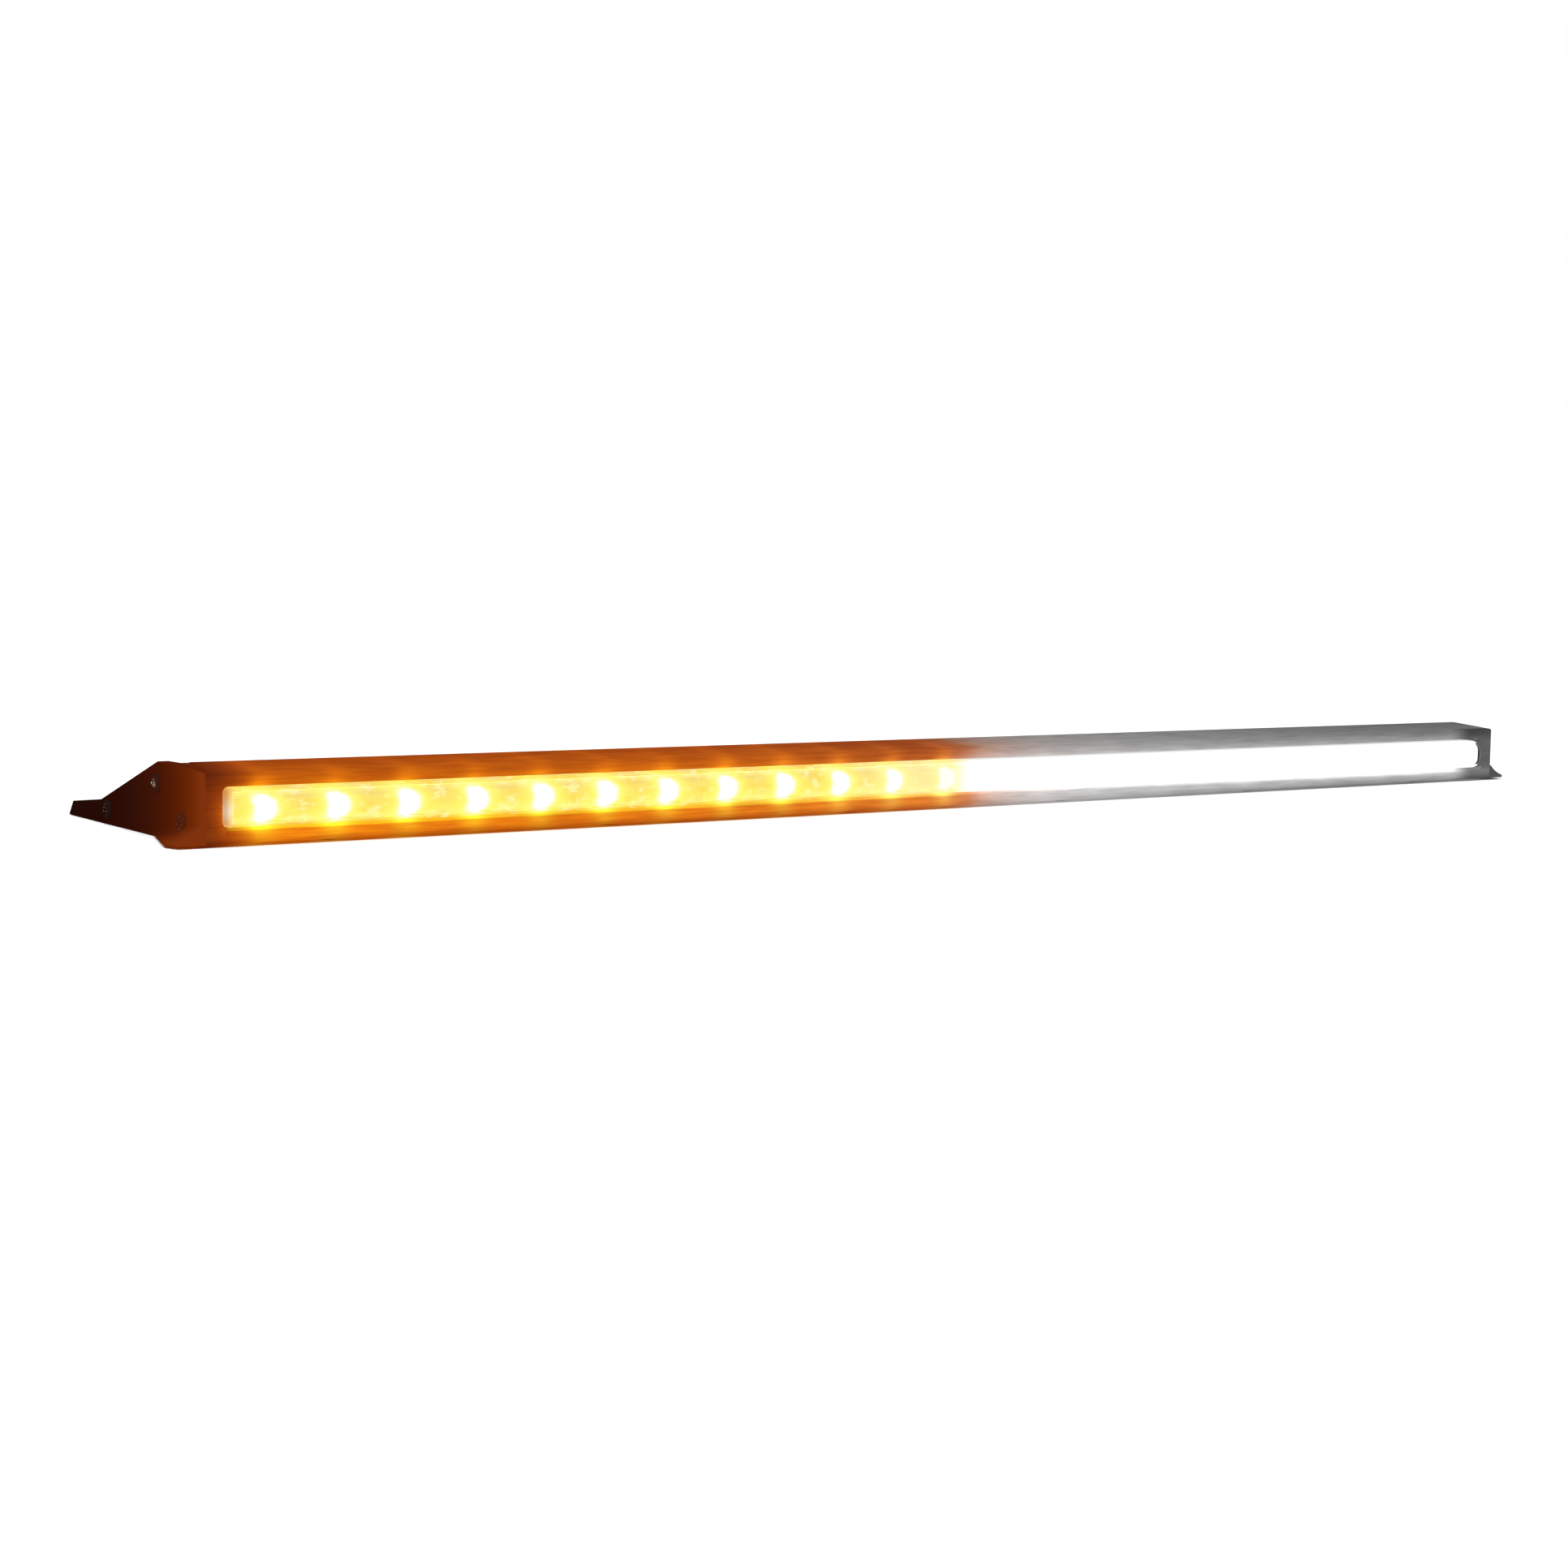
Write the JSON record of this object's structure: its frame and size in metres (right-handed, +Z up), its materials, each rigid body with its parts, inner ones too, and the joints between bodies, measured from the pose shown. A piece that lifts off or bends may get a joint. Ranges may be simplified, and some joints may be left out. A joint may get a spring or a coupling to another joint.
{
  "type": "led light bar",
  "caption": "Low wedge-shaped LED light bar: a slim full-length lens lit amber and white, a finned sloping deck, and a thin rear mounting flange with bolt holes.",
  "frame": {"origin": "centre of the footprint, on the flat mounting plane", "axes": "+X along the bar to the right as seen from the front, +Y from the lens at the front to the mounting flange at the rear, +Z up"},
  "size_m": [0.508, 0.1, 0.02],
  "materials": {
    "housing_metal": "fine satin black powder coat over extruded aluminium",
    "cap_metal": "satin black paint over die-cast aluminium",
    "bezel_black": "glossy black moulded polycarbonate",
    "lens_clear": "clear polished polycarbonate lens",
    "optic_lit": "moulded optic, lit amber on the left half and white on the right half",
    "reflector_chrome": "vacuum-metallised cups",
    "amber_phosphor": "amber emitter package",
    "white_phosphor": "white emitter package with yellow phosphor",
    "dome_silicone": "clear silicone dome",
    "board_white": "white solder mask on an aluminium-cored board",
    "board_green": "green solder mask on glass-fibre board",
    "chip_black": "black moulded component bodies",
    "capacitor_can": "bare aluminium cans",
    "connector_white": "natural nylon connector",
    "pad_grey": "grey filled silicone",
    "seal_rubber": "black silicone rubber",
    "screw_steel": "bright stainless steel",
    "screw_black": "black-coated stainless steel",
    "spacer_brass": "turned brass",
    "plate_aluminium": "clear anodised sheet",
    "vent_plastic": "black nylon",
    "lead_yellow": "yellow wire insulation",
    "lead_white": "white wire insulation",
    "lead_black": "black wire insulation"
  },
  "bodies": {
    "root": {"housing": "housing_metal", "front_bezel": "bezel_black", "bezel_screws": "screw_steel", "lens": "lens_clear", "lens_gasket": "seal_rubber", "inner_optic": "optic_lit", "reflector": "reflector_chrome", "amber_leds": "amber_phosphor", "amber_led_domes": "dome_silicone", "white_leds": "white_phosphor", "white_led_domes": "dome_silicone", "led_board": "board_white", "led_resistors": "chip_black", "led_board_screws": "screw_steel", "thermal_pad": "pad_grey", "lead_grommet": "seal_rubber", "amber_lead": "lead_yellow", "white_lead": "lead_white", "ground_lead": "lead_black", "driver_board": "board_green", "driver_board_spacers": "spacer_brass", "driver_board_screws": "screw_steel", "driver_chips": "chip_black", "power_inductors": "chip_black", "filter_capacitors": "capacitor_can", "input_diodes": "chip_black", "driver_resistors": "chip_black", "input_connector": "connector_white", "lead_connector": "connector_white", "base_plate": "plate_aluminium", "base_gasket": "seal_rubber", "base_screws": "screw_steel", "cable_grommet": "seal_rubber", "breather_vent": "vent_plastic", "left_end_cap": "cap_metal", "right_end_cap": "cap_metal", "left_end_gasket": "seal_rubber", "right_end_gasket": "seal_rubber", "left_end_screws": "screw_black", "right_end_screws": "screw_black"}
  },
  "joints": []
}
